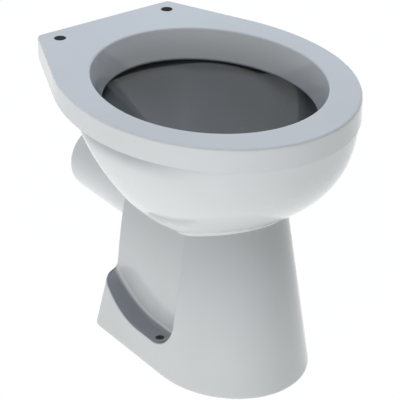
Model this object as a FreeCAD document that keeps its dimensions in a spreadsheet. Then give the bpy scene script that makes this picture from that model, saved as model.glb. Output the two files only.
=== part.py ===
import FreeCAD, Part
import os
import re
from math import acos, atan2, cos, hypot, pi, sin, tan

import Sketcher
from FreeCAD import Placement, Rotation, Vector

# A floor-standing toilet pan in white vitreous china, with a horizontal outlet.
# Millimetres. +Z up, the rim's nose towards -Y, the outlet towards +Y, the floor at Z = 0.
# The pan is made of castings that are luted together while the clay is damp and then fired as one:
# rim, rim lip, flush chamber, inlet horn, bowl, trap, outlet spigot, pedestal and foot.

doc = FreeCAD.newDocument("floor_standing_toilet")
sheet = doc.addObject("Spreadsheet::Sheet", "sizes")

rim_sizes = {
    "rim_height": 390,
    "rim_half_width": 180,
    "rim_widest": -21,
    "rim_front": -237.5,
    "rim_side_radius": 316,
    "band_height": 31,
    "rim_wall": 10,
    "rim_edge": 3,
    "deck_rear": 221,
    "deck_half_width": 105.5,
    "deck_corner": 9,
    "seat_spacing": 172,
    "seat_setback": 26.5,
    "seat_hole": 15,
}
opening_sizes = {
    "rim_side_width": 37,
    "rim_front_width": 48.5,
    "deck_length": 73,
    "opening_widest": -26,
    "opening_edge": 3,
    "lip_drop": 41,
    "lip_side_inset": 16.5,
    "lip_front_inset": 11,
    "lip_rear_inset": 17,
    "lip_wall": 9,
    "lip_edge": 3,
    "sole_rise": 1,
    "sole_thickness": 8,
    "flush_hole": 6,
    "flush_hole_inset": 5.5,
}
bowl_sizes = {
    "bowl_wall": 11,
    "bowl_rise": 4,
    "mouth_inset": 5,
    "mouth_setback": 0,
    "mouth_widest": -21,
    "mouth_rear_setback": 47,
    "mouth_side_radius": 150,
    "mouth_rear_radius": 120,
    "shoulder_inset": 13,
    "shoulder_setback": 8,
    "shoulder_widest": -30,
    "shoulder_rear_setback": 80,
    "shoulder_side_radius": 103,
    "shoulder_rear_radius": 94,
    "belly_inset": 33,
    "belly_setback": 30,
    "belly_widest": -37,
    "belly_rear_setback": 120.5,
    "belly_side_radius": 73,
    "belly_rear_radius": 64,
    "keel_inset": 63,
    "keel_setback": 77,
    "keel_widest": -39,
    "keel_rear_setback": 169,
    "keel_side_radius": 37,
    "keel_rear_radius": 43.5,
    "bottom_level": 202,
    "bottom_inset": 114,
    "bottom_setback": 131.5,
    "bottom_widest": -50,
    "bottom_rear_setback": 231,
    "bottom_side_radius": 30,
    "bottom_rear_radius": 26,
    "throat_half_width": 46,
    "throat_front": -99,
    "throat_rear": -24,
    "throat_side_radius": 20,
    "throat_rear_radius": 24,
}
trap_sizes = {
    "trap_bore_radius": 35,
    "trap_wall": 8,
    "sump_centre": -78,
    "trap_turn": 48,
    "trap_level": 96,
    "outlet_height": 175,
    "outlet_radius": 51,
    "outlet_bore_radius": 43,
    "outlet_end": 237.5,
    "outlet_stop": 12,
    "outlet_root_radius": 53,
    "outlet_root_end": 91,
    "spigot_edge": 3,
}
flush_sizes = {
    "chamber_depth": 90,
    "chamber_wall": 9,
    "chamber_widest": 40,
    "chamber_front": -20,
    "chamber_inset": 17,
    "chamber_rear_setback": 17,
    "chamber_floor_half_width": 85,
    "chamber_floor_setback": 35,
    "inlet_depth": 52,
    "inlet_reach": 8,
    "inlet_length": 53,
    "inlet_root_radius": 37.5,
    "inlet_root_length": 32,
    "inlet_radius": 36,
    "inlet_bore_radius": 27.5,
    "inlet_edge": 3,
}
foot_sizes = {
    "foot_wall": 11,
    "base_height": 112,
    "foot_half_width": 105,
    "foot_nose": -63,
    "foot_front": -184.5,
    "foot_rear": 109,
    "foot_corner": 20,
    "foot_edge": 3,
    "neck_level": 310,
    "neck_half_width": 57.5,
    "neck_nose": -79,
    "neck_front": -138,
    "neck_rear": 59.5,
    "recess_front": -72,
    "recess_floor": 38.5,
    "recess_corner": 40,
    "recess_sweep_start": 0,
    "recess_sweep_radius": 125,
    "recess_fillet": 8,
    "recess_edge": 3,
    "column_half_width": 69,
    "fixing_spacing": 172,
    "fixing_front": -33,
    "fixing_hole": 11,
}

row = 0
for group in (rim_sizes, opening_sizes, bowl_sizes, trap_sizes, flush_sizes, foot_sizes):
    for alias, number in group.items():
        row += 1
        sheet.set(f"A{row}", alias)
        sheet.set(f"B{row}", str(number))
        sheet.setAlias(f"B{row}", alias)
doc.recompute()


def from_sizes(expression):
    """An expression of size names, such as "rim_height - band_height", as the document reads it."""
    return re.sub(r"[a-z][a-z_]+", lambda name: "sizes." + name.group(), expression)


workings = doc.addObject("Spreadsheet::Sheet", "workings")


def size(expression):
    """The value of an expression of size names."""
    workings.set("A1", "=" + from_sizes(expression))
    workings.recompute()
    return float(workings.get("A1"))


def bind(thing, path, expression):
    """Tie a property of an object of the document to an expression of size names."""
    thing.setExpression(path, from_sizes(expression))


def origin_plane(body, role):
    return next(feature for feature in body.Origin.OriginFeatures if feature.Role == role)


def new_body(name):
    return doc.addObject("PartDesign::Body", name)


def level_sketch(body, name, level):
    """An empty horizontal sketch at a height."""
    sketch = body.newObject("Sketcher::SketchObject", name)
    sketch.AttachmentSupport = [(origin_plane(body, "XY_Plane"), "")]
    sketch.MapMode = "FlatFace"
    bind(sketch, "AttachmentOffset.Base.z", level)
    return sketch


def side_sketch(body, name, height):
    """An empty sketch in the plane of symmetry: its X runs to the rear, its Y up from a height."""
    sketch = body.newObject("Sketcher::SketchObject", name)
    sketch.AttachmentSupport = [(origin_plane(body, "YZ_Plane"), "")]
    sketch.MapMode = "FlatFace"
    bind(sketch, "AttachmentOffset.Base.y", height)
    return sketch


def hold(sketch, kind, geometry, point, expression):
    """Hold a point of a sketch at a distance from the sketch's origin."""
    constraint = sketch.addConstraint(
        Sketcher.Constraint(kind, -1, 1, geometry, point, size(expression)))
    bind(sketch, f"Constraints[{constraint}]", expression)


def hold_radius(sketch, arc, expression):
    """Hold the radius of an arc of a sketch."""
    constraint = sketch.addConstraint(Sketcher.Constraint("Radius", arc, size(expression)))
    bind(sketch, f"Constraints[{constraint}]", expression)


def half_ellipse(sketch, half_width, widest, reach, rear_half, joined_to=None):
    """Half an ellipse about the Y axis, from its widest line to its tip at Y = reach.

    A rear half is joined to the front half that closes the outline.
    """
    width = size(half_width)
    centre = Vector(0, size(widest), 0)
    length = abs(size(reach) - centre.y)
    side_point = centre + Vector(width, 0, 0)
    tip_point = centre + Vector(0, length, 0)
    tall = length > width
    if tall:
        ellipse = Part.Ellipse(tip_point, side_point, centre)
    else:
        ellipse = Part.Ellipse(side_point, tip_point, centre)
    turn = (0 if rear_half else pi) - (pi / 2 if tall else 0)
    curve = sketch.addGeometry(Part.ArcOfEllipse(ellipse, turn, turn + pi), False)
    sketch.exposeInternalGeometry(curve)
    axes = [number for number in range(curve + 1, len(sketch.Geometry))
            if isinstance(sketch.Geometry[number], Part.LineSegment)]
    long_axis, short_axis = axes
    tip_axis, width_axis = (long_axis, short_axis) if tall else (short_axis, long_axis)
    tip = 1 if abs(sketch.getPoint(tip_axis, 1).y - size(reach)) < abs(
        sketch.getPoint(tip_axis, 2).y - size(reach)) else 2
    right = 1 if sketch.getPoint(width_axis, 1).x > 0 else 2
    sketch.addConstraint(Sketcher.Constraint("PointOnObject", tip_axis, tip, -2))
    hold(sketch, "DistanceY", tip_axis, tip, reach)
    if joined_to is None:
        sketch.addConstraint(Sketcher.Constraint("PointOnObject", curve, 3, -2))
        hold(sketch, "DistanceY", curve, 3, widest)
        hold(sketch, "DistanceX", width_axis, right, half_width)
        sketch.addConstraint(Sketcher.Constraint("PointOnObject", curve, 1, width_axis))
        sketch.addConstraint(Sketcher.Constraint("PointOnObject", curve, 2, width_axis))
    else:
        front_curve, front_axis = joined_to
        sketch.addConstraint(Sketcher.Constraint("Coincident", curve, 3, front_curve, 3))
        sketch.addConstraint(Sketcher.Constraint("Coincident", curve, 1, front_curve, 2))
        sketch.addConstraint(Sketcher.Constraint("PointOnObject", curve, 2, front_axis))
    return curve, width_axis


def egg_outline(body, name, level, half_width, widest, front, rear):
    """A closed plan outline of two half ellipses that share their widest line."""
    sketch = level_sketch(body, name, level)
    front_half = half_ellipse(sketch, half_width, widest, front, False)
    half_ellipse(sketch, half_width, widest, rear, True, front_half)
    return sketch


def loft(body, kind, name, sections):
    """Join plan outlines, from the highest to the lowest, into a solid or a cut."""
    feature = body.newObject(f"PartDesign::{kind}Loft", name)
    feature.Profile = sections[0]
    feature.Sections = sections[1:]
    return feature


def egg_form(name, sections):
    """A body lofted through egg outlines, each (level, half_width, widest, front, rear)."""
    body = new_body(name)
    outlines = [egg_outline(body, f"{name}_outline_{number}", *section)
                for number, section in enumerate(sections)]
    loft(body, "Additive", f"{name}_loft", outlines)
    return body


def pear_outline(body, name, level, half_width, widest, front, rear, side_radius, rear_radius):
    """A closed plan outline: an elliptical nose, round sides and straight lines to a round rear."""
    sketch = level_sketch(body, name, level)
    nose, width_axis = half_ellipse(sketch, half_width, widest, front, False)
    width, middle, back, side, end = (
        size(part) for part in (half_width, widest, rear, side_radius, rear_radius))
    side_centre = Vector(width - side, middle, 0)
    rear_centre = Vector(0, back - end, 0)
    between = rear_centre - side_centre
    # The straight line touches both arcs where their radii are square to it.
    lean = (atan2(between.y, between.x) - acos((side - end) / between.Length)) % (2 * pi)
    outward = Vector(cos(lean), sin(lean), 0)
    side_contact = side_centre + outward * side
    rear_contact = rear_centre + outward * end
    left_centre, left_side_contact, left_rear_contact = (
        Vector(-point.x, point.y, 0) for point in (side_centre, side_contact, rear_contact))
    up = Vector(0, 0, 1)
    pieces = [
        Part.ArcOfCircle(Part.Circle(side_centre, up, side), 0, lean),
        Part.LineSegment(side_contact, rear_contact),
        Part.ArcOfCircle(Part.Circle(rear_centre, up, end), lean, pi - lean),
        Part.LineSegment(left_rear_contact, left_side_contact),
        Part.ArcOfCircle(Part.Circle(left_centre, up, side), pi - lean, pi),
    ]
    right_arc, right_side, rear_arc, left_side, left_arc = (
        sketch.addGeometry(piece, False) for piece in pieces)
    relations = [
        ("Coincident", nose, 2, right_arc, 1),
        ("PointOnObject", right_arc, 3, width_axis),
        ("Tangent", right_arc, 2, right_side, 1),
        ("Tangent", right_side, 2, rear_arc, 1),
        ("PointOnObject", rear_arc, 3, -2),
        ("Tangent", rear_arc, 2, left_side, 1),
        ("Tangent", left_side, 2, left_arc, 1),
        ("Coincident", left_arc, 2, nose, 1),
        ("PointOnObject", left_arc, 3, width_axis),
        ("Equal", right_arc, left_arc),
    ]
    for relation in relations:
        sketch.addConstraint(Sketcher.Constraint(*relation))
    hold_radius(sketch, right_arc, side_radius)
    hold_radius(sketch, rear_arc, rear_radius)
    hold(sketch, "DistanceY", rear_arc, 3, f"{rear} - ({rear_radius})")
    return sketch


def pear_form(name, sections):
    """A body lofted through pear outlines, from the highest to the lowest."""
    body = new_body(name)
    outlines = [pear_outline(body, f"{name}_outline_{number}", *section)
                for number, section in enumerate(sections)]
    loft(body, "Additive", f"{name}_loft", outlines)
    return body


def rim_outline(body, name, level, wall):
    """The rim's plan, drawn in by a wall: an elliptical nose, arcs and straight lines to the deck."""
    half_width = f"rim_half_width - {wall}"
    sketch = level_sketch(body, name, level)
    nose, width_axis = half_ellipse(sketch, half_width, "rim_widest", f"rim_front + {wall}", False)
    radius = size("rim_side_radius")
    centre = Vector(size("rim_half_width - rim_side_radius"), size("rim_widest"), 0)
    to_corner = Vector(size("deck_half_width"), size("deck_rear"), 0) - centre
    # The straight side touches the arc where the radius is square to it.
    lean = atan2(to_corner.y, to_corner.x) - acos(radius / to_corner.Length)
    # A corner that is drawn in square to both its sides moves by this share of the wall in X.
    share = 1 / cos(lean) - tan(lean)
    corner_half_width = f"deck_half_width - {share:.6f} * {wall}"
    rear = f"deck_rear - {wall}"
    radius -= size(wall)
    contact = centre + Vector(cos(lean), sin(lean), 0) * radius
    corner = Vector(size(corner_half_width), size(rear), 0)
    left_centre, left_contact, left_corner = (
        Vector(-point.x, point.y, 0) for point in (centre, contact, corner))
    up = Vector(0, 0, 1)
    pieces = [
        Part.ArcOfCircle(Part.Circle(centre, up, radius), 0, lean),
        Part.LineSegment(contact, corner),
        Part.LineSegment(corner, left_corner),
        Part.LineSegment(left_corner, left_contact),
        Part.ArcOfCircle(Part.Circle(left_centre, up, radius), pi - lean, pi),
    ]
    right_arc, right_side, rear_edge, left_side, left_arc = (
        sketch.addGeometry(piece, False) for piece in pieces)
    relations = [
        ("Coincident", nose, 2, right_arc, 1),
        ("PointOnObject", right_arc, 3, width_axis),
        ("Tangent", right_arc, 2, right_side, 1),
        ("Coincident", right_side, 2, rear_edge, 1),
        ("Horizontal", rear_edge),
        ("Coincident", rear_edge, 2, left_side, 1),
        ("Tangent", left_side, 2, left_arc, 1),
        ("Coincident", left_arc, 2, nose, 1),
        ("PointOnObject", left_arc, 3, width_axis),
        ("Equal", right_arc, left_arc),
    ]
    for relation in relations:
        sketch.addConstraint(Sketcher.Constraint(*relation))
    hold_radius(sketch, right_arc, f"rim_side_radius - {wall}")
    hold(sketch, "DistanceX", right_side, 2, corner_half_width)
    hold(sketch, "DistanceY", right_side, 2, rear)
    hold(sketch, "DistanceX", left_side, 1, f"-({corner_half_width})")
    return sketch


def foot_outline(body, name, level, half_width, nose_line, front, rear, corner):
    """The foot's plan: an elliptical nose, straight sides and a straight rear with round corners."""
    sketch = level_sketch(body, name, level)
    nose, _ = half_ellipse(sketch, half_width, nose_line, front, False)
    width, start, back, radius = (size(part) for part in (half_width, nose_line, rear, corner))
    up = Vector(0, 0, 1)
    inner = width - radius
    bend = back - radius
    right_side = sketch.addGeometry(
        Part.LineSegment(Vector(width, start, 0), Vector(width, bend, 0)), False)
    right_corner = sketch.addGeometry(
        Part.ArcOfCircle(Part.Circle(Vector(inner, bend, 0), up, radius), 0, pi / 2), False)
    rear_edge = sketch.addGeometry(
        Part.LineSegment(Vector(inner, back, 0), Vector(-inner, back, 0)), False)
    left_corner = sketch.addGeometry(
        Part.ArcOfCircle(Part.Circle(Vector(-inner, bend, 0), up, radius), pi / 2, pi), False)
    left_side = sketch.addGeometry(
        Part.LineSegment(Vector(-width, bend, 0), Vector(-width, start, 0)), False)
    relations = [
        ("Coincident", nose, 2, right_side, 1),
        ("Vertical", right_side),
        ("Tangent", right_side, 2, right_corner, 1),
        ("Tangent", right_corner, 2, rear_edge, 1),
        ("Horizontal", rear_edge),
        ("Tangent", rear_edge, 2, left_corner, 1),
        ("Tangent", left_corner, 2, left_side, 1),
        ("Vertical", left_side),
        ("Coincident", left_side, 2, nose, 1),
        ("Equal", right_corner, left_corner),
    ]
    for relation in relations:
        sketch.addConstraint(Sketcher.Constraint(*relation))
    hold_radius(sketch, right_corner, corner)
    hold(sketch, "DistanceY", rear_edge, 1, rear)
    return sketch


def round_hole(sketch, to_side, to_rear, diameter):
    """A circle in a plan, held at its place and size."""
    place = Vector(size(to_side), size(to_rear), 0)
    circle = sketch.addGeometry(Part.Circle(place, Vector(0, 0, 1), size(diameter) / 2), False)
    hold_radius(sketch, circle, f"{diameter} / 2")
    hold(sketch, "DistanceX", circle, 3, to_side)
    hold(sketch, "DistanceY", circle, 3, to_rear)


def round_edges(body, base, name, radius, chosen):
    """Round the edges of a body's last feature that the function chosen picks."""
    doc.recompute()
    edges = [f"Edge{number}" for number, edge in enumerate(base.Shape.Edges, 1) if chosen(edge)]
    feature = body.newObject("PartDesign::Fillet", name)
    feature.Base = (base, edges)
    bind(feature, "Radius", radius)
    return feature


# Two places that are closer than this count as one.
near = 0.01


def edge_height(edge):
    """The height of a level edge, or None for one that climbs."""
    box = edge.BoundBox
    return box.ZMin if box.ZLength < near else None


def at_height(edge, level):
    height = edge_height(edge)
    return height is not None and abs(height - level) < near


def cut(name, base, *tools):
    """Take other solids away from a solid."""
    for number, tool in enumerate(tools, 1):
        result = doc.addObject("Part::Cut", name if number == len(tools) else f"{name}_cut_{number}")
        result.Base = base
        result.Tool = tool
        base = result
    return base


def common(name, base, tool):
    """Keep what two solids share."""
    result = doc.addObject("Part::Common", name)
    result.Base = base
    result.Tool = tool
    return result


def join(name, base, tool):
    """Make two solids one."""
    result = doc.addObject("Part::Fuse", name)
    result.Base = base
    result.Tool = tool
    return result


def rod(name, radius, start, length, height):
    """A plain cylinder along Y, for the holes that tubes pass through."""
    cylinder = doc.addObject("Part::Cylinder", name)
    cylinder.Placement = Placement(Vector(), Rotation(Vector(1, 0, 0), -90))
    bind(cylinder, "Radius", radius)
    bind(cylinder, "Height", length)
    bind(cylinder, "Placement.Base.y", start)
    bind(cylinder, "Placement.Base.z", height)
    return cylinder


def block(name, start, end):
    """A box between two corners, for parting a casting."""
    box = doc.addObject("Part::Box", name)
    for axis, length, low, high in zip("xyz", ("Length", "Width", "Height"), start, end):
        bind(box, f"Placement.Base.{axis}", low)
        bind(box, length, f"({high}) - ({low})")
    return box


# The expression for a place on the middle plane or the floor, and for an outline that isn't drawn in.
nothing = "0"

# Bowl: a deep shell, flush with the rim at the nose, that narrows to the rear under the deck.
mouth_level = "rim_height - band_height"
bowl_depth = f"({mouth_level} - bottom_level)"
bowl_sections = []
for part, share in (("mouth", 1), ("shoulder", 0.75), ("belly", 0.5), ("keel", 0.25), ("bottom", 0)):
    bowl_sections.append((
        f"bottom_level + {share} * {bowl_depth}", f"rim_half_width - {part}_inset", f"{part}_widest",
        f"rim_front + {part}_setback", f"deck_rear - {part}_rear_setback", f"{part}_side_radius",
        f"{part}_rear_radius"))
mouth = bowl_sections[0][1:]


def inside(level, half_width, widest, front, rear, side_radius, rear_radius):
    """The outline a wall's thickness inside one of the bowl's outlines."""
    return (level, f"{half_width} - bowl_wall", widest, f"{front} + bowl_wall", f"{rear} - bowl_wall",
            f"{side_radius} - bowl_wall", f"{rear_radius} - bowl_wall")


bowl_form = pear_form("bowl_form", bowl_sections)
# Inside, the outlines are lifted so that the bowl's sloping floor keeps its thickness.
bowl_core = pear_form("bowl_core", [
    *(inside(f"{level} + bowl_rise", *outline) for level, *outline in bowl_sections[:-1]),
    ("bottom_level - bowl_rise", "throat_half_width", "bottom_widest", "throat_front", "throat_rear",
     "throat_side_radius", "throat_rear_radius"),
])
bowl_shell = cut("bowl_shell", bowl_form, bowl_core)

# Rim: a tray turned upside down, with the deck at its rear and the opening in its top.
rim_body = new_body("rim_body")
rim_block = rim_body.newObject("PartDesign::Pad", "rim_block")
rim_block.Profile = rim_outline(rim_body, "rim_plan", mouth_level, nothing)
bind(rim_block, "Length", "band_height")


def deck_corner_edge(edge):
    box = edge.BoundBox
    return box.ZLength > 1 and box.YLength < near and abs(box.YMin - size("deck_rear")) < near


deck_corners = round_edges(rim_body, rim_block, "deck_corners", "deck_corner", deck_corner_edge)
rim_top_edge = round_edges(rim_body, deck_corners, "rim_top_edge", "rim_edge",
                           lambda edge: at_height(edge, size("rim_height")))
rim_hollow = rim_body.newObject("PartDesign::Pocket", "rim_hollow")
rim_hollow.Profile = rim_outline(rim_body, "rim_hollow_plan", mouth_level, "rim_wall")
rim_hollow.Reversed = True
bind(rim_hollow, "Length", "band_height - rim_wall")
lip_level = "rim_height - lip_drop"
ceiling = "rim_height - rim_wall"


def opening_outline(depth, wall):
    """The opening's plan at a depth below the rim's top, drawn out by a wall."""
    drawn_in = f"({depth}) / lip_drop"
    return (f"rim_height - ({depth})",
            f"rim_half_width - rim_side_width - lip_side_inset * {drawn_in} + {wall}",
            "opening_widest",
            f"rim_front + rim_front_width + lip_front_inset * {drawn_in} - {wall}",
            f"deck_rear - deck_length - lip_rear_inset * {drawn_in} + {wall}")


opening_top = egg_outline(rim_body, "opening_top", *opening_outline(nothing, nothing))
opening_foot = egg_outline(rim_body, "opening_foot", *opening_outline("lip_drop", nothing))
opening = loft(rim_body, "Subtractive", "opening", [opening_top, opening_foot])


def opening_edge(edge):
    box = edge.BoundBox
    return at_height(edge, size("rim_height")) and box.YMax < size("deck_rear - deck_length") + 1 and (
        box.YMin > size("rim_front + rim_front_width") - 1)


rim_opening_edge = round_edges(rim_body, opening, "rim_opening_edge", "opening_edge", opening_edge)
seat_plan = level_sketch(rim_body, "seat_plan", "rim_height")
for half_spacing in ("seat_spacing / 2", "-seat_spacing / 2"):
    round_hole(seat_plan, half_spacing, "deck_rear - seat_setback", "seat_hole")
seat_holes = rim_body.newObject("PartDesign::Pocket", "seat_holes")
seat_holes.Profile = seat_plan
bind(seat_holes, "Length", "band_height")

# Flush chamber: a gutter behind the bowl that leads the flush from the inlet up into the rim.
chamber_floor_level = "rim_height - chamber_depth"
chamber_form = egg_form("chamber_form", [
    (ceiling, "rim_half_width - chamber_inset", "chamber_widest", "chamber_front",
     "deck_rear - chamber_rear_setback"),
    (chamber_floor_level, "chamber_floor_half_width", "chamber_widest", "chamber_front",
     "deck_rear - chamber_floor_setback"),
])
chamber_core = egg_form("chamber_core", [
    ("rim_height", "rim_half_width - chamber_inset - chamber_wall", "chamber_widest", "chamber_front",
     "deck_rear - chamber_rear_setback - chamber_wall"),
    (f"{chamber_floor_level} + chamber_wall", "chamber_floor_half_width - chamber_wall", "chamber_widest",
     "chamber_front", "deck_rear - chamber_floor_setback - chamber_wall"),
])
channel_form = pear_form("channel_form", [inside("rim_height", *mouth), inside(mouth_level, *mouth)])
inlet_height = "rim_height - inlet_depth"
inlet_end = "deck_rear + inlet_reach"
inlet_start = f"{inlet_end} - inlet_length"
inlet_root = rod("inlet_root", "inlet_root_radius", inlet_start, "inlet_root_length", inlet_height)
inlet_rod = rod("inlet_rod", "inlet_radius", inlet_start, "inlet_length", inlet_height)
rim_room = new_body("rim_room")
rim_room_pad = rim_room.newObject("PartDesign::Pad", "rim_room_pad")
rim_room_pad.Profile = rim_outline(rim_room, "rim_room_plan", chamber_floor_level, "rim_wall")
bind(rim_room_pad, "Length", f"{ceiling} - ({chamber_floor_level})")
flush_chamber = cut("flush_chamber", common("chamber_in_rim", chamber_form, rim_room), chamber_core,
                    bowl_form, channel_form, inlet_root)
rim_ring = cut("rim_ring", rim_body, inlet_rod)

# Rim lip: the funnel under the opening, with the flush channel's floor and its ring of flush holes.
lip_body = new_body("lip_body")
lip_wall_top = egg_outline(lip_body, "lip_wall_top", *opening_outline("rim_wall", "lip_wall"))
lip_wall_foot = egg_outline(lip_body, "lip_wall_foot", *opening_outline("lip_drop", "lip_wall"))
loft(lip_body, "Additive", "lip_outside", [lip_wall_top, lip_wall_foot])
lip_inside_top = egg_outline(lip_body, "lip_inside_top", *opening_outline("rim_wall", nothing))
lip_inside_foot = egg_outline(lip_body, "lip_inside_foot", *opening_outline("lip_drop", nothing))
lip_funnel = loft(lip_body, "Subtractive", "lip_funnel", [lip_inside_top, lip_inside_foot])
lip_lower_edge = round_edges(lip_body, lip_funnel, "lip_lower_edge", "lip_edge",
                             lambda edge: at_height(edge, size(lip_level)))
sole_level = f"{lip_level} + sole_rise + lip_edge"
sole_body = new_body("sole_body")
sole_plate = sole_body.newObject("PartDesign::Pad", "sole_plate")
sole_plate.Profile = egg_outline(sole_body, "sole_plan", sole_level, "rim_half_width", "rim_widest",
                                 "rim_front", "deck_rear")
bind(sole_plate, "Length", "sole_thickness")
_, sole_half_width, sole_widest, sole_front, sole_rear = opening_outline(
    "lip_drop - lip_edge", "lip_wall / 2")
sole_mouth = sole_body.newObject("PartDesign::Pocket", "sole_mouth")
sole_mouth.Profile = egg_outline(sole_body, "sole_mouth_plan", sole_level, sole_half_width, sole_widest,
                                 sole_front, sole_rear)
sole_mouth.Reversed = True
bind(sole_mouth, "Length", "sole_thickness")
_, ring_half_width, ring_widest, ring_front, ring_rear = opening_outline(
    "lip_drop", "(lip_wall + flush_hole_inset)")
flush_hole_count = 24
hole_plan = level_sketch(sole_body, "hole_plan", sole_level)
for number in range(flush_hole_count):
    turn = 2 * pi * (number + 0.5) / flush_hole_count
    reach = ring_rear if sin(turn) > 0 else ring_front
    to_side = f"{cos(turn):.6f} * ({ring_half_width})"
    to_rear = f"{ring_widest} + {abs(sin(turn)):.6f} * ({reach} - {ring_widest})"
    round_hole(hole_plan, to_side, to_rear, "flush_hole")
flush_holes = sole_body.newObject("PartDesign::Pocket", "flush_holes")
flush_holes.Profile = hole_plan
flush_holes.Reversed = True
bind(flush_holes, "Length", "sole_thickness")
rim_lip = join("rim_lip", lip_body, common("sole_in_bowl", sole_body, bowl_core))


def tube(name, start, end, height, root_radius, root_end, radius, bore, stop_bore, stop, edge):
    """A straight tube along Y: a thicker root, a rounded mouth, and a stop of a smaller bore."""
    body = new_body(name)
    profile = side_sketch(body, f"{name}_profile", height)
    first, last, root, shoulder, outer, inner, step, ledge = (
        size(part) for part in (start, end, root_radius, root_end, radius, bore, stop_bore, stop))
    corners = [
        Vector(first, step, 0),
        Vector(first, root, 0),
        Vector(shoulder, root, 0),
        Vector(shoulder, outer, 0),
        Vector(last, outer, 0),
        Vector(last, inner, 0),
        Vector(first + ledge, inner, 0),
        Vector(first + ledge, step, 0),
    ]
    lines = []
    for corner, following in zip(corners, corners[1:] + corners[:1]):
        lines.append(profile.addGeometry(Part.LineSegment(corner, following), False))
    for line, following in zip(lines, lines[1:] + lines[:1]):
        profile.addConstraint(Sketcher.Constraint("Coincident", line, 2, following, 1))
    for line, direction in zip(lines, ("Vertical", "Horizontal") * 4):
        profile.addConstraint(Sketcher.Constraint(direction, line))
    hold(profile, "DistanceX", lines[0], 1, start)
    hold(profile, "DistanceY", lines[0], 1, stop_bore)
    hold(profile, "DistanceY", lines[1], 1, root_radius)
    hold(profile, "DistanceX", lines[2], 1, root_end)
    hold(profile, "DistanceY", lines[3], 1, radius)
    hold(profile, "DistanceX", lines[4], 1, end)
    hold(profile, "DistanceY", lines[4], 2, bore)
    hold(profile, "DistanceX", lines[5], 2, f"{start} + {stop}")
    turned = body.newObject("PartDesign::Revolution", f"{name}_turned")
    turned.Profile = profile
    turned.ReferenceAxis = (profile, ["H_Axis"])
    turned.Angle = 360
    round_edges(body, turned, f"{name}_mouth", edge,
                lambda rim: abs(rim.BoundBox.YMin - last) < near and rim.BoundBox.YLength < near)
    return body


# Inlet horn: the socket under the deck that takes the flush pipe.
inlet_horn = tube("inlet_horn", inlet_start, inlet_end, inlet_height, "inlet_root_radius",
                  f"{inlet_start} + inlet_root_length", "inlet_radius", "inlet_bore_radius",
                  "inlet_bore_radius - inlet_edge", "chamber_wall", "inlet_edge")

# Outlet spigot: the straight horizontal end of the trap that the soil pipe fits over.
rise_centre = "sump_centre + 2 * trap_turn"
spigot_start = f"{rise_centre} + trap_turn"
outlet_spigot = tube("outlet_spigot", spigot_start, "outlet_end", "outlet_height", "outlet_root_radius",
                     "outlet_root_end", "outlet_radius", "outlet_bore_radius", "trap_bore_radius",
                     "outlet_stop", "spigot_edge")


def bend(name, radius, angle, rotation, centre_y, centre_z):
    """Part of a ring of round section in the plane of symmetry."""
    ring = doc.addObject("Part::Torus", name)
    ring.Placement = Placement(Vector(), rotation)
    ring.Angle3 = angle
    bind(ring, "Radius1", "trap_turn")
    bind(ring, "Radius2", radius)
    bind(ring, "Placement.Base.y", centre_y)
    bind(ring, "Placement.Base.z", centre_z)
    return ring


def post(name, radius, to_side, to_rear, level, top):
    """An upright cylinder."""
    cylinder = doc.addObject("Part::Cylinder", name)
    bind(cylinder, "Radius", radius)
    bind(cylinder, "Height", f"({top}) - ({level})")
    bind(cylinder, "Placement.Base.x", to_side)
    bind(cylinder, "Placement.Base.y", to_rear)
    bind(cylinder, "Placement.Base.z", level)
    return cylinder


# Trap: a funnel down from the throat, a return bend that holds the water seal, and a bend to the outlet.
trap_outer = "trap_bore_radius + trap_wall"
half_turn_down = Rotation(Vector(0, -1, 0), Vector(0, 0, -1), Vector(1, 0, 0), "XYZ")
trap_middle = "sump_centre + trap_turn"
trap_bend = cut("trap_bend",
                bend("trap_bend_outside", trap_outer, 180, half_turn_down, trap_middle, "trap_level"),
                bend("trap_bend_bore", "trap_bore_radius", 180, half_turn_down, trap_middle, "trap_level"))
quarter_turn_rear = Rotation(Vector(0, -1, 0), Vector(0, 0, 1), Vector(-1, 0, 0), "XYZ")
weir_level = "outlet_height - trap_turn"
weir_walls = []
for side, radius in (("outside", trap_outer), ("bore", "trap_bore_radius")):
    leg = post(f"rising_leg_{side}", radius, nothing, rise_centre, "trap_level", weir_level)
    turn = bend(f"weir_turn_{side}", radius, 90, quarter_turn_rear, spigot_start, weir_level)
    weir_walls.append(join(f"weir_{side}", leg, turn))
weir_outside, weir_bore = weir_walls
# Where a high outlet lifts the bend into the bowl, the bowl's own wall closes the bend.
weir_bend = cut("weir_bend", weir_outside, weir_bore, bowl_form)


def round_outline(body, name, level, radius, centre):
    """A circle of two half arcs, which match the two halves of an egg outline."""
    sketch = level_sketch(body, name, level)
    circle = Part.Circle(Vector(0, size(centre), 0), Vector(0, 0, 1), size(radius))
    front_arc = sketch.addGeometry(Part.ArcOfCircle(circle, pi, 2 * pi), False)
    rear_arc = sketch.addGeometry(Part.ArcOfCircle(circle, 0, pi), False)
    relations = [
        ("Coincident", front_arc, 3, rear_arc, 3),
        ("Coincident", front_arc, 2, rear_arc, 1),
        ("Coincident", rear_arc, 2, front_arc, 1),
        ("PointOnObject", front_arc, 3, -2),
        ("Horizontal", front_arc, 1, front_arc, 3),
    ]
    for relation in relations:
        sketch.addConstraint(Sketcher.Constraint(*relation))
    hold_radius(sketch, front_arc, radius)
    hold(sketch, "DistanceY", front_arc, 3, centre)
    return sketch


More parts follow.
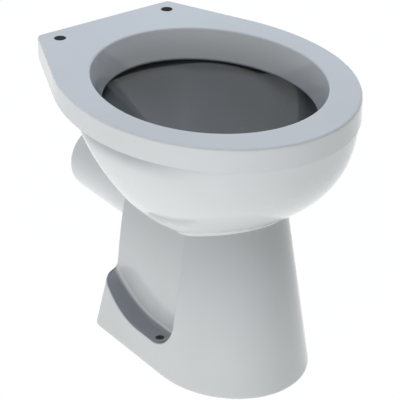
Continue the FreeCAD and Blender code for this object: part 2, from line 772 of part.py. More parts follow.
sump_funnel = new_body("sump_funnel")
funnel_top = egg_outline(sump_funnel, "funnel_top", "bottom_level", "throat_half_width + trap_wall",
                         "bottom_widest", "throat_front - trap_wall", "throat_rear + trap_wall")
funnel_foot = round_outline(sump_funnel, "funnel_foot", "trap_level", trap_outer, "sump_centre")
loft(sump_funnel, "Additive", "funnel_outside", [funnel_top, funnel_foot])
bore_top = egg_outline(sump_funnel, "bore_top", "bottom_level", "throat_half_width", "bottom_widest",
                       "throat_front", "throat_rear")
bore_foot = round_outline(sump_funnel, "bore_foot", "trap_level", "trap_bore_radius", "sump_centre")
loft(sump_funnel, "Subtractive", "funnel_bore", [bore_top, bore_foot])


def recess_profile(body, name, wall, face):
    """The recess seen from the side: an upright front and a level floor that sweeps up to the rear."""
    profile = side_sketch(body, name, f"recess_floor - {wall}")
    bind(profile, "AttachmentOffset.Base.z", face)
    front, corner, sweep_start, sweep, head = (size(part) for part in (
        f"recess_front - {wall}", f"recess_corner + {wall}", "recess_sweep_start",
        f"recess_sweep_radius + {wall}", "neck_level"))
    floor_front = front + corner
    sweep_end = sweep_start + sweep
    across = Vector(0, 0, 1)
    pieces = [
        Part.LineSegment(Vector(front, head, 0), Vector(front, corner, 0)),
        Part.ArcOfCircle(Part.Circle(Vector(floor_front, corner, 0), across, corner), pi, 1.5 * pi),
        Part.LineSegment(Vector(floor_front, 0, 0), Vector(sweep_start, 0, 0)),
        Part.ArcOfCircle(Part.Circle(Vector(sweep_start, sweep, 0), across, sweep), 1.5 * pi, 2 * pi),
        Part.LineSegment(Vector(sweep_end, sweep, 0), Vector(sweep_end, head, 0)),
        Part.LineSegment(Vector(sweep_end, head, 0), Vector(front, head, 0)),
    ]
    front_line, front_corner, floor_line, floor_sweep, rear_line, head_line = (
        profile.addGeometry(piece, False) for piece in pieces)
    relations = [
        ("Tangent", front_line, 2, front_corner, 1),
        ("Tangent", front_corner, 2, floor_line, 1),
        ("Tangent", floor_line, 2, floor_sweep, 1),
        ("Tangent", floor_sweep, 2, rear_line, 1),
        ("Coincident", rear_line, 2, head_line, 1),
        ("Coincident", head_line, 2, front_line, 1),
        ("Vertical", front_line),
        ("PointOnObject", floor_line, 1, -1),
        ("Horizontal", floor_line),
        ("Vertical", rear_line),
        ("Horizontal", head_line),
    ]
    for relation in relations:
        profile.addConstraint(Sketcher.Constraint(*relation))
    hold_radius(profile, front_corner, f"recess_corner + {wall}")
    hold_radius(profile, floor_sweep, f"recess_sweep_radius + {wall}")
    hold(profile, "DistanceX", front_line, 1, f"recess_front - {wall}")
    hold(profile, "DistanceX", floor_line, 2, "recess_sweep_start")
    hold(profile, "DistanceY", head_line, 1, "neck_level")
    return profile


def foot_form(name, wall):
    """The tapered foot with a recess in each side, drawn in by a wall all round."""
    body = new_body(name)
    top = foot_outline(body, f"{name}_top", "neck_level", f"neck_half_width - {wall}", "neck_nose",
                       f"neck_front + {wall}", f"neck_rear - {wall}", "foot_corner")
    base = foot_outline(body, f"{name}_base", nothing, f"foot_half_width - {wall}", "foot_nose",
                        f"foot_front + {wall}", f"foot_rear - {wall}", "foot_corner")
    recess = loft(body, "Additive", f"{name}_taper", [top, base])
    for side, sign in (("left", "-"), ("right", "")):
        face = f"{sign}(column_half_width - {wall})"
        profile = recess_profile(body, f"{name}_profile_{side}", wall, face)
        recess = body.newObject("PartDesign::Pocket", f"{name}_recess_{side}")
        recess.Profile = profile
        recess.Reversed = side == "right"
        bind(recess, "Length", "foot_half_width")
    return body, recess


def on_recess(point):
    """Whether a point lies on the front, the corner, the floor or the sweep of a recess."""
    front, floor = size("recess_front"), size("recess_floor")
    corner, sweep = size("recess_corner"), size("recess_sweep_radius")
    bend_y, bend_z = front + corner, floor + corner
    sweep_y, sweep_z = size("recess_sweep_start"), floor + sweep
    if point.z > bend_z and point.y < bend_y:
        miss = point.y - front
    elif point.y < bend_y:
        miss = hypot(point.y - bend_y, point.z - bend_z) - corner
    elif point.y < sweep_y:
        miss = point.z - floor
    else:
        miss = hypot(point.y - sweep_y, point.z - sweep_z) - sweep
    return abs(miss) < near


def recess_edge(edge, at_column):
    """Whether an edge runs along a recess, at the column's face or at the outer skin."""
    points = edge.discretize(5)
    if not all(on_recess(point) for point in points):
        return False
    if edge.BoundBox.YLength < near and edge.BoundBox.ZLength < near:
        return False
    flat = all(abs(abs(point.x) - size("column_half_width")) < near for point in points)
    return flat == at_column


foot_body, foot_recess = foot_form("foot_body", nothing)
foot_core, _ = foot_form("foot_core", "foot_wall")
foot_fillet = round_edges(foot_body, foot_recess, "foot_fillet", "recess_fillet",
                          lambda edge: recess_edge(edge, True))
foot_edges = round_edges(foot_body, foot_fillet, "foot_edges", "recess_edge",
                         lambda edge: recess_edge(edge, False))
foot_rim = round_edges(foot_body, foot_edges, "foot_rim", "foot_edge",
                       lambda edge: at_height(edge, 0))
foot_shell = cut("foot_shell", foot_body, foot_core, bowl_form)

# The foot's shell is parted level above the recesses, and its upper half behind the pedestal's nose.
far_left = "-2 * foot_half_width"
far_right = "2 * foot_half_width"
far_front = "2 * foot_front"
far_rear = "2 * foot_rear"
behind_nose = "recess_front - foot_wall"
base_block = block("base_block", (far_left, far_front, "-foot_wall"), (far_right, far_rear, "base_height"))
front_block = block("front_block", (far_left, far_front, "base_height"),
                    (far_right, behind_nose, "rim_height"))
rear_block = block("rear_block", (far_left, behind_nose, "base_height"),
                   (far_right, far_rear, "rim_height"))
fixing_holes = [post(f"fixing_hole_{side}", "fixing_hole / 2", half_spacing, "fixing_front", nothing,
                     "recess_floor + recess_corner")
                for side, half_spacing in (("left", "-fixing_spacing / 2"), ("right", "fixing_spacing / 2"))]
spigot_rod = rod("spigot_rod", "outlet_root_radius", spigot_start, "outlet_end", "outlet_height")
foot_base = cut("foot_base", common("base_shell", foot_shell, base_block), *fixing_holes)
pedestal_front = common("pedestal_front", foot_shell, front_block)
trap_casing = cut("trap_casing", common("rear_shell", foot_shell, rear_block), weir_outside, spigot_rod)

castings = [rim_ring, rim_lip, flush_chamber, inlet_horn, bowl_shell, sump_funnel, trap_bend, weir_bend,
            outlet_spigot, pedestal_front, trap_casing, foot_base]
for casting in castings:
    casting.Label = casting.Name
doc.recompute()
for thing in doc.Objects:
    if "Invalid" in thing.State or "Error" in thing.State:
        raise RuntimeError(f"{thing.Name} failed to build")
for casting in castings:
    shape = casting.Shape
    if shape.isNull() or not shape.isValid() or len(shape.Solids) != 1:
        raise RuntimeError(f"{casting.Label} isn't one sound solid")
os.makedirs("parts", exist_ok=True)
for casting in castings:
    casting.Shape.exportStep(f"parts/{casting.Label}.step")
    print(casting.Label, round(casting.Shape.Volume), casting.Shape.BoundBox)
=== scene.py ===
from math import acos, cos, pi, radians, sin

import bpy
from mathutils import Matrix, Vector
from mathutils.bvhtree import BVHTree


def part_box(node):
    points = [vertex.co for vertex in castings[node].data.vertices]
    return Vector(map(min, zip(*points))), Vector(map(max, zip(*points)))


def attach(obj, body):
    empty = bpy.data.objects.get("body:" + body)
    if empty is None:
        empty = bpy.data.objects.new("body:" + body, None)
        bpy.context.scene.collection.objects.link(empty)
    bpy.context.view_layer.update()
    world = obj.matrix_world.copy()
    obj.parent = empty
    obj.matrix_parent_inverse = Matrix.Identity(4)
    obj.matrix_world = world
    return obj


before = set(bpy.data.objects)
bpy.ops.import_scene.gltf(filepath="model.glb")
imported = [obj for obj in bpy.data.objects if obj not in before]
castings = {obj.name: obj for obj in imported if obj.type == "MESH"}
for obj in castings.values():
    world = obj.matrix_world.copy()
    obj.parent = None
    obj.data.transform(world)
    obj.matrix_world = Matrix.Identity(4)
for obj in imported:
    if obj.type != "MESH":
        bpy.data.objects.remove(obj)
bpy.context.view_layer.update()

# Foot: a hollow, tapered box of vitreous china with a recess in each side for the floor screws.
# It is slip cast, sprayed with an opaque white glaze and fired once at about 1200 degrees.
# The glaze is wiped off the standing edge, so that the foot doesn't stick to the kiln shelf.
glaze_white = (0.800, 0.815, 0.820)
glaze_thin = (0.770, 0.780, 0.780)
# Painted shade: a grey for under the bowl's overhang and in the crease under the band.
painted_overhang_shade = (0.500, 0.512, 0.520)
# Painted shade: a dark grey for the inside of the bowl.
painted_inside_shade = (0.194, 0.208, 0.218)
# Painted shade: a grey for the ledges of the recesses.
painted_ledge_shade = (0.265, 0.282, 0.315)
glaze_refraction = 1.52
# Painted shadow: near-black close under the lip.
painted_lip_shadow = (0.110, 0.114, 0.118)
iron_speck = (0.36, 0.33, 0.29)
bare_china = (0.720, 0.680, 0.620)
bare_china_dark = (0.640, 0.600, 0.545)
# Painted shade: near-black for the walls of the holes.
painted_hole_shade = (0.085, 0.085, 0.085)
hole_offset = 0.086
bowl_axis_y = -0.040
cloud_contrast = (0.3, 0.7)


class FinishBench:
    """A bench to put the nodes of a finish together on."""

    def __init__(self, finish):
        finish.use_nodes = True
        self.tree = finish.node_tree

    def node(self, kind, **settings):
        """A new node."""
        made = self.tree.nodes.new(kind)
        for setting, value in settings.items():
            setattr(made, setting, value)
        return made

    def feed(self, socket, value):
        """Wire a socket to another, or set it to a constant."""
        if isinstance(value, bpy.types.NodeSocket):
            self.tree.links.new(value, socket)
        else:
            socket.default_value = value

    def sums(self, operation, first, second=0.0):
        """A calculation of two numbers, each a socket or a constant."""
        step = self.node("ShaderNodeMath", operation=operation)
        self.feed(step.inputs[0], first)
        self.feed(step.inputs[1], second)
        return step.outputs[0]

    def vectors(self, operation, first, second=None):
        """A calculation of one or two vectors, each a socket or a constant."""
        step = self.node("ShaderNodeVectorMath", operation=operation)
        self.feed(step.inputs[0], first)
        if second is not None:
            self.feed(step.inputs[1], second)
        return step.outputs["Value" if operation == "DOT_PRODUCT" else "Vector"]

    def clouds(self, place, per_metre, detail):
        """Soft clouds through the china, so many to the metre."""
        noise = self.node("ShaderNodeTexNoise")
        self.feed(noise.inputs["Vector"], place)
        self.feed(noise.inputs["Scale"], per_metre)
        self.feed(noise.inputs["Detail"], detail)
        return noise.outputs["Fac"]

    def ramp(self, value, low, high, to_low=0.0, to_high=1.0):
        """A number that goes smoothly from to_low to to_high as value goes from low to high."""
        slope = self.node("ShaderNodeMapRange", interpolation_type="SMOOTHSTEP")
        self.feed(slope.inputs["Value"], value)
        self.feed(slope.inputs["From Min"], low)
        self.feed(slope.inputs["From Max"], high)
        self.feed(slope.inputs["To Min"], to_low)
        self.feed(slope.inputs["To Max"], to_high)
        return slope.outputs["Result"]

    def tint(self, share, first, second):
        """A blend of two colours, each a socket or a constant."""
        blend = self.node("ShaderNodeMix", data_type="RGBA")
        self.feed(blend.inputs["Factor"], share)
        for letter, colour in (("A", first), ("B", second)):
            socket = next(i for i in blend.inputs if i.name == letter and i.type == "RGBA")
            self.feed(socket, (*colour, 1) if isinstance(colour, tuple) else colour)
        return next(o for o in blend.outputs if o.type == "RGBA")


class GlazeBench(FinishBench):
    """A bench for a casting's glaze: where each point is, how far it looks inward, how thick the glaze is.

    Inward means facing the bowl's upright axis.
    """

    def __init__(self, glaze):
        super().__init__(glaze)
        facing_axis, facing_away = -0.75, 0.05
        thickness_clouds = 7.0
        self.place = self.node("ShaderNodeTexCoord").outputs["Object"]
        self.spot = self.coordinates(self.place)
        self.normal = self.node("ShaderNodeNewGeometry").outputs["Normal"]
        outward = self.vectors("SUBTRACT", self.place, (0, bowl_axis_y, 0))
        level = self.vectors("NORMALIZE", self.vectors("MULTIPLY", outward, (1, 1, 0)))
        facing = self.vectors("DOT_PRODUCT", level, self.normal)
        self.inward = self.ramp(facing, facing_axis, facing_away, 1.0, 0.0)
        self.thickness = self.ramp(self.clouds(self.place, thickness_clouds, detail=2.0), *cloud_contrast)

    def coordinates(self, vector):
        """The X, Y and Z of a vector."""
        split = self.node("ShaderNodeSeparateXYZ")
        self.feed(split.inputs[0], vector)
        return split.outputs


def shaded_inside_and_under_lip(bench, white, inside_from):
    """Painted shade inside the bowl, and a painted shadow close under the lip."""
    lip_foot = (0.3530, 0.3470)
    trap_fade = 0.005
    lip_shadow_band = (0.3310, 0.3400)
    inside = bench.sums("MULTIPLY", bench.inward, bench.ramp(bench.spot["Z"], *lip_foot))
    above_trap = bench.ramp(bench.spot["Z"], inside_from, inside_from + trap_fade)
    inside = bench.sums("MULTIPLY", inside, above_trap)
    # Painted shadow: a near-black band close under the lip.
    lip_shadow_share = bench.sums("MULTIPLY", inside, bench.ramp(bench.spot["Z"], *lip_shadow_band))
    return bench.tint(lip_shadow_share, bench.tint(inside, white, painted_inside_shade), painted_lip_shadow)


def shaded_ledge(bench, colour):
    """Painted shade: the level ledge in each recess is painted dark grey."""
    ledge_tilt = (0.40, 0.80)
    ledge_height = (0.200, 0.170)
    level = bench.ramp(bench.coordinates(bench.normal)["Z"], *ledge_tilt)
    ledge = bench.sums("MULTIPLY", level, bench.ramp(bench.spot["Z"], *ledge_height))
    return bench.tint(ledge, colour, painted_ledge_shade)


def specked(bench, colour):
    """A few specks of iron in the clay, which show as faint dots about half a millimetre across."""
    speck_places = 70.0
    places_left_empty = 0.93
    speck_edge = (0.030, 0.012)
    speck_strength = 0.35
    specks = bench.node("ShaderNodeTexVoronoi")
    bench.feed(specks.inputs["Scale"], speck_places)
    bench.feed(specks.inputs["Vector"], bench.place)
    chance = bench.node("ShaderNodeSeparateColor")
    bench.feed(chance.inputs[0], specks.outputs["Color"])
    filled = bench.sums("GREATER_THAN", chance.outputs[0], places_left_empty)
    dot = bench.sums("MULTIPLY", bench.ramp(specks.outputs["Distance"], *speck_edge), filled)
    return bench.tint(bench.sums("MULTIPLY", dot, speck_strength), colour, iron_speck)


def sprayed(bench):
    """The surface of sprayed glaze, which settles in slow waves with a fine orange peel on them."""
    waves = (42.0, 0.00022)
    peel = (520.0, 0.000012)
    surface = None
    for per_metre, depth in (waves, peel):
        bump = bench.node("ShaderNodeBump")
        bench.feed(bump.inputs["Strength"], 1.0)
        bench.feed(bump.inputs["Distance"], depth)
        bench.feed(bump.inputs["Height"], bench.clouds(bench.place, per_metre, detail=1.0))
        if surface is not None:
            bench.feed(bump.inputs["Normal"], surface)
        surface = bump.outputs[0]
    return surface


def wiped_bare(bench, colour, roughness, axis, glaze_end, bare_end):
    """An end that is wiped bare of glaze past bare_end on an axis, with a ragged edge from glaze_end."""
    edge_clouds, edge_raggedness = 160.0, 0.0012
    grain_clouds = 900.0
    bare_roughness = 0.75
    ragged = bench.sums("MULTIPLY", bench.clouds(bench.place, edge_clouds, detail=2.0), edge_raggedness)
    bare = bench.ramp(bench.sums("ADD", bench.spot[axis], ragged), glaze_end, bare_end)
    grain = bench.ramp(bench.clouds(bench.place, grain_clouds, detail=2.0), *cloud_contrast)
    dull = bench.node("ShaderNodeMix", data_type="FLOAT")
    bench.feed(dull.inputs[0], bare)
    bench.feed(dull.inputs[2], roughness)
    bench.feed(dull.inputs[3], bare_roughness)
    clay = bench.tint(grain, bare_china, bare_china_dark)
    return bench.tint(bare, colour, clay), dull.outputs[0]


def punched(bench, colour, roughness, hole_y, hole_radius):
    """A pair of upright holes, one on each side, whose walls are painted near-black as shade and made
    rougher.
    """
    shade_reach, full_shade_reach = 0.0009, 0.0003
    hole_wall_roughness = 0.8
    across = bench.sums("SUBTRACT", bench.sums("ABSOLUTE", bench.spot["X"]), hole_offset)
    along = bench.sums("SUBTRACT", bench.spot["Y"], hole_y)
    square = bench.sums("ADD", bench.sums("MULTIPLY", across, across),
                        bench.sums("MULTIPLY", along, along))
    hole_shade = bench.ramp(bench.sums("SQRT", square), hole_radius + shade_reach, hole_radius + full_shade_reach)
    rough = bench.sums("MAXIMUM", roughness, bench.sums("MULTIPLY", hole_shade, hole_wall_roughness))
    return bench.tint(hole_shade, colour, painted_hole_shade), rough


def glazed_china(name, *washes, inside_from=0.180, bare=None, holes=None):
    """White glaze on china, with washes over it that paint light and shade onto it.

    It is painted darker inside the bowl as shade, down to the level inside_from. Bare is an axis and the
    places on it where the glaze ends and the bare china starts; holes are a pair's Y and radius.
    """
    gloss_clouds = 30.0
    roughness_range = (0.07, 0.14)
    material = bpy.data.materials.new(name)
    bench = GlazeBench(material)
    white = bench.tint(bench.thickness, glaze_white, glaze_thin)
    for wash in washes:
        white = wash(bench, white)
    colour = specked(bench, shaded_ledge(bench, shaded_inside_and_under_lip(bench, white, inside_from)))
    gloss = bench.clouds(bench.place, gloss_clouds, detail=3.0)
    roughness = bench.ramp(gloss, *cloud_contrast, *roughness_range)
    if bare:
        colour, roughness = wiped_bare(bench, colour, roughness, *bare)
    if holes:
        colour, roughness = punched(bench, colour, roughness, *holes)
    shader = bench.tree.nodes["Principled BSDF"]
    bench.feed(shader.inputs["Base Color"], colour)
    bench.feed(shader.inputs["Roughness"], roughness)
    bench.feed(shader.inputs["Normal"], sprayed(bench))
    shader.inputs["IOR"].default_value = glaze_refraction
    return material


def finish_casting(name, glaze):
    """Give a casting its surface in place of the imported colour."""
    casting = castings[name]
    casting.data.materials.clear()
    casting.data.materials.append(glaze)


def shaded_under_bowl(bench, white):
    """Painted shade under the bowl's overhang: the glaze is painted greyer towards the top."""
    shade_height = (0.030, 0.260)
    return bench.tint(bench.ramp(bench.spot["Z"], *shade_height), white, painted_overhang_shade)


foot_standing_edge = ("Z", 0.0022, 0.0012)
floor_screw_holes = (-0.033, 0.0055)
# The foot's glaze is painted greyer towards its top, as shade under the bowl.
finish_casting("foot_base", glazed_china("glaze_foot", shaded_under_bowl, bare=foot_standing_edge,
                                         holes=floor_screw_holes))

# Pedestal: the round nose in front and the casing round the trap behind it.
# Both are walls of the same shell as the foot, luted onto it and glazed outside.
# The pedestal's glaze is painted greyer towards its top, as shade under the bowl.
pedestal_glaze = glazed_china("glaze_pedestal", shaded_under_bowl)
finish_casting("pedestal_front", pedestal_glaze)
finish_casting("trap_casing", pedestal_glaze)

# Trap: the funnel under the bowl, the return bend that holds the water seal and the bend to the outlet.
# They are cast tubes, luted together. The funnel is in sight from above and glazed; the bends are
# bare all over, because their bare end starts below the floor.
sump_bottom = 0.090
trap_bare_end = ("Z", -0.02, -0.01)
# Inside the funnel the glaze is painted dark as shade, down to sump_bottom.
finish_casting("sump_funnel", glazed_china("glaze_sump", inside_from=sump_bottom))
for trap_piece in ("trap_bend", "weir_bend"):
    finish_casting(trap_piece, glazed_china(f"slip_{trap_piece}", bare=trap_bare_end))

# Outlet spigot: a straight tube that the soil pipe's rubber collar is pushed over.
# It is cast with the trap and luted into the casing; its end is trimmed bare of glaze.
spigot_end = ("Y", 0.2348, 0.2362)
finish_casting("outlet_spigot", glazed_china("glaze_spigot", bare=spigot_end))

# Bowl: a deep slip-cast shell with a round belly that overhangs the pedestal all round.
# It is glazed inside and out, and luted onto the pedestal while the clay is still damp.
# Painted light: a whiter glaze for the bottom of the belly and the bead under it.
painted_light_white = (0.910, 0.920, 0.915)


def lit_belly_bottom(bench, white):
    """Painted light: the bottom of the belly is painted whiter."""
    belly_bottom = (0.275, 0.215)
    return bench.tint(bench.ramp(bench.spot["Z"], *belly_bottom), white, painted_light_white)


def shaded_crease(bench, white):
    """Painted shade in the crease under the band, which fades out towards the front."""
    crease_height = (0.332, 0.358)
    crease_length = (-0.190, -0.080)
    crease = bench.sums("MULTIPLY", bench.ramp(bench.spot["Z"], *crease_height),
                        bench.ramp(bench.spot["Y"], *crease_length))
    return bench.tint(crease, white, painted_overhang_shade)


# The bowl's glaze is painted whiter at the belly's bottom as light, and greyer in the crease and inside as
# shade.
finish_casting("bowl_shell", glazed_china("glaze_bowl", lit_belly_bottom, shaded_crease))

# Rim: the flat ring with the deck for the seat at its rear, and the lip that hides the flush holes.
# The two are cast apart, luted together to a hollow tube, set on the bowl and wiped smooth.
# Painted shade: a grey for the inner wall of the lip.
painted_lip_shade = (0.600, 0.610, 0.614)
seat_holes = (0.1945, 0.0075)


def shaded_lip_wall(bench, white):
    """Painted shade: the inner wall of the lip is painted greyer down from the top."""
    lip_height = (0.3890, 0.3520)
    lip_underside = (0.3350, 0.3450)
    lip = bench.sums("MULTIPLY", bench.inward, bench.ramp(bench.spot["Z"], *lip_height))
    lip = bench.sums("MULTIPLY", lip, bench.ramp(bench.spot["Z"], *lip_underside))
    return bench.tint(lip, white, painted_lip_shade)


finish_casting("rim_ring", glazed_china("glaze_rim", shaded_lip_wall, holes=seat_holes))
finish_casting("rim_lip", glazed_china("painted_lip_shade", shaded_lip_wall))

# Flush chamber and inlet horn: the gutter under the deck, and the socket for the flush pipe.
# They are cast apart and luted on under the deck; the horn's end is trimmed bare of glaze.
outer_glaze = glazed_china("glaze_outside")
horn_end = ("Y", 0.2264, 0.2278)
finish_casting("flush_chamber", outer_glaze)
finish_casting("inlet_horn", glazed_china("glaze_horn", bare=horn_end))

# Luting seams: where two castings meet, soft slip is pressed into the corner and wiped with a sponge.
# Under the bowl it stays proud as a fine bead, painted whiter as a highlight; round the outlet it is wiped
# to a round hollow. Each seam is a closed ring along the corner.
seam_steps = 12
bowl_bead_radius = 0.0018
bowl_bead_stations = 360
bowl_joint_lowest = 0.190
bowl_joint_highest = 0.300
spigot_root_radius = 0.053
spigot_seam_y = 0.099
spigot_seam_radius = 0.010
spigot_seam_stations = 160


def skin_of(*names):
    """The surface of some castings, to find points on."""
    corners, faces = [], []
    for name in names:
        mesh = castings[name].data
        first = len(corners)
        corners.extend(vertex.co.copy() for vertex in mesh.vertices)
        faces.extend([first + corner for corner in face.vertices] for face in mesh.polygons)
    return BVHTree.FromPolygons(corners, faces)


def evened(points, rounds):
    """A closed line of points with its small steps smoothed out."""
    for _ in range(rounds):
        points = [(before + point * 2 + after) / 4 for before, point, after in
                  zip(points[-1:] + points[:-1], points, points[1:] + points[:1])]
    return points


def glazed_seam(name, corners, outward, row, glaze, own_normals):
    """A piece that stays with the pan, of closed rows of corners that are joined all round.

    Outward holds the direction away from the slip at each corner, which is also its normal on a
    seam with normals of its own.
    """
    stations = len(corners) // row
    faces = []
    for station in range(stations):
        here = station * row
        there = (station + 1) % stations * row
        for step in range(row):
            after = (step + 1) % row
            faces.append((here + step, there + step, there + after, here + after))
    mesh = bpy.data.meshes.new(name)
    mesh.from_pydata(corners, [], faces)
    mesh.update()
    middle = seam_steps // 2
    if mesh.polygons[middle].normal.dot(outward[middle]) < 0:
        mesh.flip_normals()
    if own_normals:
        mesh.normals_split_custom_set_from_vertices(outward)
    for face in mesh.polygons:
        face.use_smooth = True
    mesh.materials.append(glaze)
    seam = bpy.data.objects.new(name, mesh)
    bpy.context.scene.collection.objects.link(seam)
    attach(seam, "root")


def slip_bead(name, line, radius, glaze):
    """A closed roll of slip along a line of points."""
    corners, outward = [], []
    for before, point, after in zip(line[-1:] + line[:-1], line, line[1:] + line[:1]):
        along = (after - before).normalized()
        side = along.cross(Vector((0, 0, 1))).normalized()
        lift = side.cross(along)
        for step in range(seam_steps):
            turn = 2 * pi * step / seam_steps
            outward.append(side * cos(turn) + lift * sin(turn))
            corners.append(point + outward[-1] * radius)
    glazed_seam(name, corners, outward, seam_steps, glaze, own_normals=False)


def bowl_joint(bowl, pedestal, turn):
    """Where the pedestal's wall runs into the bowl, looking in at one turn round the bowl's axis."""
    outward = Vector((cos(turn), sin(turn), 0))
    halvings = 20

    def look_in(skin, level):
        point, _, _, distance = skin.ray_cast(outward + Vector((0, bowl_axis_y, level)), -outward)
        return point, distance

    low, high = bowl_joint_lowest, bowl_joint_highest
    for _ in range(halvings):
        level = (low + high) / 2
        to_bowl = look_in(bowl, level)[1]
        to_pedestal = look_in(pedestal, level)[1]
        if to_pedestal is None or to_bowl is not None and to_bowl <= to_pedestal:
            high = level
        else:
            low = level
    return look_in(pedestal, low)[0]


bowl_skin = skin_of("bowl_shell")
pedestal_skin = skin_of("pedestal_front", "trap_casing")
bowl_bead_line = [bowl_joint(bowl_skin, pedestal_skin, 2 * pi * station / bowl_bead_stations)
                  for station in range(bowl_bead_stations)]


def bead_highlight(bench, white):
    """Painted highlight: the bead is painted whiter than the glaze around it."""
    return bench.tint(bench.thickness, painted_light_white, glaze_white)


slip_bead("bowl_seam", evened(bowl_bead_line, rounds=2), bowl_bead_radius,
          glazed_china("glaze_bead", bead_highlight))


def sponge_seat(start, radius, first, second):
    """Where a round sponge rests in the corner between two skins: its centre and its two contacts."""
    most_nudges = 40
    settled = 1e-7
    least_spread = 0.05
    centre = Vector(start)
    for _ in range(most_nudges):
        from_first = centre - first.find_nearest(centre)[0]
        from_second = centre - second.find_nearest(centre)[0]
        short_first = radius - from_first.length
        short_second = radius - from_second.length
        if abs(short_first) + abs(short_second) < settled:
            break
        from_first.normalize()
        from_second.normalize()
        together = from_first.dot(from_second)
        spread = max(1 - together * together, least_spread)
        nudge = (from_first * (short_first - together * short_second)
                 + from_second * (short_second - together * short_first)) / spread
        if nudge.length > radius:
            nudge *= radius / nudge.length
        centre += nudge
    return centre, first.find_nearest(centre)[0], second.find_nearest(centre)[0]


def luted_seam(name, first, second, starts, radius, glaze, rounds):
    """A closed ring of slip along the corner between two skins, wiped to a round hollow."""
    sink = 0.00005
    seats = [sponge_seat(start, radius, first, second) for start in starts]
    centres, first_line, second_line = (evened(list(line), rounds) for line in zip(*seats))
    corners, outward = [], []
    for centre, on_first, on_second in zip(centres, first_line, second_line):
        to_first = (on_first - centre).normalized()
        to_second = (on_second - centre).normalized()
        opening = acos(max(-1.0, min(1.0, to_first.dot(to_second))))
        for step in range(seam_steps + 1):
            share = step / seam_steps
            spoke = (to_first * sin((1 - share) * opening)
                     + to_second * sin(share * opening)) / sin(opening)
            corners.append(centre + spoke * (radius + sink))
            outward.append(-spoke)
        into_corner = (to_first + to_second).normalized()
        corners.append(centre + into_corner * (radius / cos(opening / 2)))
        outward.append(into_corner)
    glazed_seam(name, corners, outward, seam_steps + 2, glaze, own_normals=True)


spigot_low, spigot_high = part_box("outlet_spigot")
spigot_height = (spigot_low.z + spigot_high.z) / 2
sponge_reach = spigot_root_radius + spigot_seam_radius
sponge_starts = []
for station in range(spigot_seam_stations):
    turn = 2 * pi * station / spigot_seam_stations
    sponge_starts.append((sponge_reach * cos(turn), spigot_seam_y,
                          spigot_height + sponge_reach * sin(turn)))
luted_seam("spigot_seam", skin_of("outlet_spigot"), skin_of("trap_casing", "foot_base"), sponge_starts,
           spigot_seam_radius, outer_glaze, rounds=3)

# Studio: a white floor that glows, like a light table, so that the bowl's underside is bright.
# One soft lamp stands low on the left, one hangs high over the front and one behind the right shoulder,
# which light the rim's top and leave the inside of the bowl and the recess in shade, which painted shade
# in the glaze deepens.
floor_size = 30.0
floor_level = -0.0005
floor_colour = (0.60, 0.60, 0.60, 1)
floor_glow = 0.70
floor_glow_colour = (0.985, 1.0, 0.985, 1)
floor_whiteness = 0.94
room_colour = (0.01, 0.01, 0.01, 1)
backdrop_colour = (1, 1, 1, 1)
lamp_target = Vector((0, 0, 0.2))


def seen_by_eye(bench):
    """How far a ray is one that the eye follows: straight, mirrored or through glass."""
    ray = bench.node("ShaderNodeLightPath").outputs
    seen = bench.sums("MAXIMUM", ray["Is Camera Ray"], ray["Is Glossy Ray"])
    return bench.sums("MAXIMUM", seen, ray["Is Transmission Ray"])


def blended(bench, share, first, second):
    """A blend of two paints or lights."""
    blend = bench.node("ShaderNodeMixShader")
    bench.feed(blend.inputs[0], share)
    bench.feed(blend.inputs[1], first.outputs[0])
    bench.feed(blend.inputs[2], second.outputs[0])
    return blend.outputs[0]


floor_mesh = bpy.data.meshes.new("floor")
floor_corners = [(floor_size * across, floor_size * along, floor_level)
                 for across, along in ((-1, -1), (1, -1), (1, 1), (-1, 1))]
floor_mesh.from_pydata(floor_corners, [], [(0, 1, 2, 3)])
floor = bpy.data.objects.new("floor", floor_mesh)
bpy.context.scene.collection.objects.link(floor)
floor_paint = bpy.data.materials.new("floor_paint")
floor_bench = FinishBench(floor_paint)
floor_bench.tree.nodes.clear()
paint = floor_bench.node("ShaderNodeBsdfDiffuse")
paint.inputs["Color"].default_value = floor_colour
glow = floor_bench.node("ShaderNodeEmission")
glow.inputs["Strength"].default_value = floor_glow
glow.inputs["Color"].default_value = floor_glow_colour
lit_floor = floor_bench.node("ShaderNodeAddShader")
floor_bench.feed(lit_floor.inputs[0], paint.outputs[0])
floor_bench.feed(lit_floor.inputs[1], glow.outputs[0])
white_floor = floor_bench.node("ShaderNodeEmission")
white_share = floor_bench.sums("MULTIPLY", seen_by_eye(floor_bench), floor_whiteness)
floor_bench.feed(floor_bench.node("ShaderNodeOutputMaterial").inputs["Surface"],
                 blended(floor_bench, white_share, lit_floor, white_floor))
floor_paint.cycles.emission_sampling = "NONE"
floor_mesh.materials.append(floor_paint)

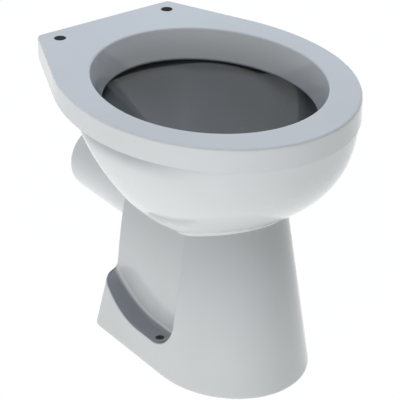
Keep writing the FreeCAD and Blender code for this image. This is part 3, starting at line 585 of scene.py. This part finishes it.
studio = bpy.data.worlds.new("studio")
bpy.context.scene.world = studio
studio_bench = FinishBench(studio)
studio_bench.tree.nodes.clear()
room = studio_bench.node("ShaderNodeBackground")
room.inputs["Color"].default_value = room_colour
backdrop = studio_bench.node("ShaderNodeBackground")
backdrop.inputs["Color"].default_value = backdrop_colour
studio_bench.feed(studio_bench.node("ShaderNodeOutputWorld").inputs["Surface"],
                  blended(studio_bench, seen_by_eye(studio_bench), room, backdrop))


def softbox(name, place, width, height, power, colour):
    """A soft lamp with a square front that faces the pan and doesn't show in the glaze."""
    lamp = bpy.data.lights.new(name, "AREA")
    lamp.shape = "RECTANGLE"
    lamp.size = width
    lamp.size_y = height
    lamp.energy = power
    lamp.color = colour
    box = bpy.data.objects.new(name, lamp)
    box.location = place
    box.rotation_mode = "QUATERNION"
    box.rotation_quaternion = (lamp_target - Vector(place)).to_track_quat("-Z", "Y")
    box.visible_glossy = False
    bpy.context.scene.collection.objects.link(box)


softbox("left_softbox", (-2.4, -0.4, 0.30), width=2.0, height=0.8, power=12.6, colour=(0.98, 0.99, 1.0))
softbox("high_softbox", (-1.0, -0.95, 2.2), width=1.8, height=1.2, power=18, colour=(0.94, 0.96, 1.0))
softbox("rear_softbox", (0.9, 1.2, 2.2), width=1.6, height=1.6, power=34, colour=(0.72, 0.84, 1.0))

# Camera: a long lens in front of the pan's left side, looking down at the rim.
# It stands about two and a half metres off, so that the upright edges hardly lean.
camera_place = (-1.2711, -1.7794, 1.3780)
camera_azimuth = radians(-35.56)
camera_elevation = radians(28.32)
camera_sight = Vector((-sin(camera_azimuth) * cos(camera_elevation),
                       cos(camera_azimuth) * cos(camera_elevation), -sin(camera_elevation)))
lens = bpy.data.cameras.new("camera")
lens.sensor_width = 36
lens.lens = 168.98
lens.shift_x = 0.0032
lens.shift_y = 0.0081
camera = bpy.data.objects.new("camera", lens)
camera.location = camera_place
camera.rotation_mode = "QUATERNION"
camera.rotation_quaternion = camera_sight.to_track_quat("-Z", "Y")
bpy.context.scene.collection.objects.link(camera)
bpy.context.scene.camera = camera
bpy.context.scene.view_settings.view_transform = "Standard"
